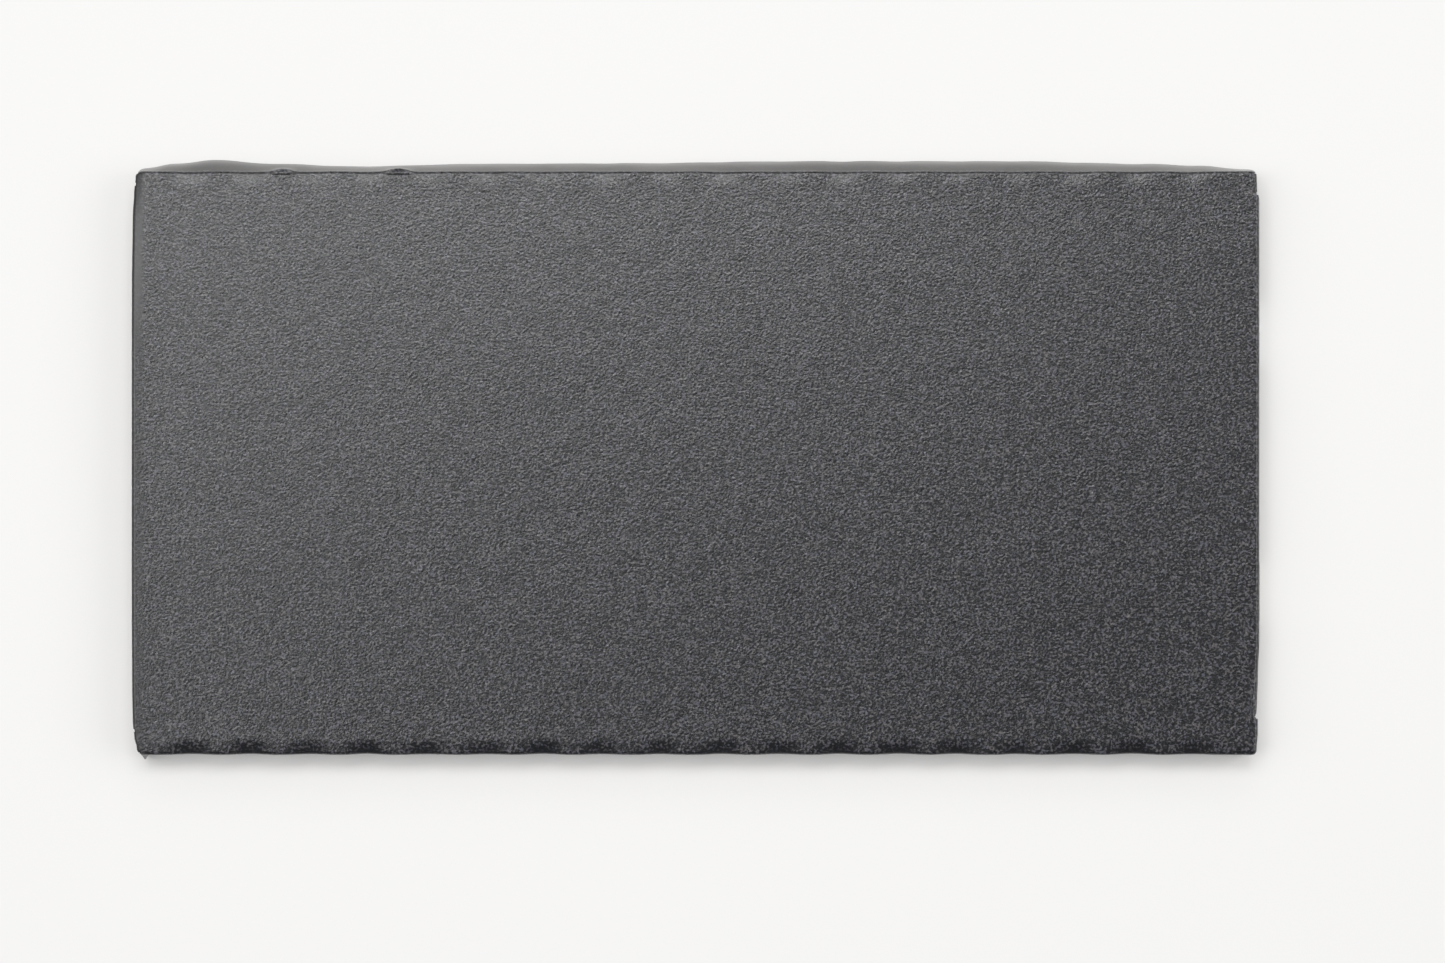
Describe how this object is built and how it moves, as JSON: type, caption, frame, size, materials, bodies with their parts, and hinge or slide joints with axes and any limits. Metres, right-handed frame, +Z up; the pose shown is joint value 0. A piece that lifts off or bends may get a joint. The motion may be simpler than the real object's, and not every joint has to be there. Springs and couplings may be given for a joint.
{
  "type": "pouch battery cell",
  "caption": "Flat rectangular pouch cell in black laminate, its sealed rim folded down over the cup, with two folded tab lands on one end.",
  "frame": {"origin": "centre of the flat underside of the cup, on the surface that the cell lies on", "axes": "+X along the cell towards the end with the tabs, +Y towards the side wing that leans out, +Z up through the flat cover"},
  "size_m": [0.0958, 0.0506, 0.004],
  "materials": {
    "laminate": "black nylon face of aluminium laminate, fine orange-peel grain, smooth where it was heat-sealed",
    "hot_melt": "cloudy hot-melt adhesive",
    "anode": "matt graphite coating with a bare copper lug",
    "cathode": "matt dark oxide coating with a bare aluminium lug",
    "separator": "white microporous film",
    "stack_tape": "green film tape",
    "aluminium_tab": "bare rolled strip",
    "nickel_tab": "nickel-plated copper strip, rolled",
    "seal_film": "black polypropylene sealing film",
    "weld_tape": "amber polyimide tape",
    "black_tape": "black insulating tape"
  },
  "bodies": {
    "root": {"pouch_cover": "laminate", "pouch_cup": "laminate", "side_glue_front": "hot_melt", "side_glue_back": "hot_melt", "end_glue_left": "hot_melt", "end_glue_right": "hot_melt", "anode_sheet_01": "anode", "anode_sheet_02": "anode", "anode_sheet_03": "anode", "anode_sheet_04": "anode", "anode_sheet_05": "anode", "anode_sheet_06": "anode", "anode_sheet_07": "anode", "anode_sheet_08": "anode", "anode_sheet_09": "anode", "anode_sheet_10": "anode", "cathode_sheet_01": "cathode", "cathode_sheet_02": "cathode", "cathode_sheet_03": "cathode", "cathode_sheet_04": "cathode", "cathode_sheet_05": "cathode", "cathode_sheet_06": "cathode", "cathode_sheet_07": "cathode", "cathode_sheet_08": "cathode", "cathode_sheet_09": "cathode", "separator": "separator", "stack_tape_front_left": "stack_tape", "stack_tape_front_right": "stack_tape", "stack_tape_back_left": "stack_tape", "stack_tape_back_right": "stack_tape", "stack_tape_end": "stack_tape", "tab_positive": "aluminium_tab", "tab_negative": "nickel_tab", "seal_film_positive_outer": "seal_film", "seal_film_positive_inner": "seal_film", "weld_tape_positive": "weld_tape", "seal_film_negative_outer": "seal_film", "seal_film_negative_inner": "seal_film", "weld_tape_negative": "weld_tape", "terrace_tape": "black_tape"}
  },
  "joints": []
}
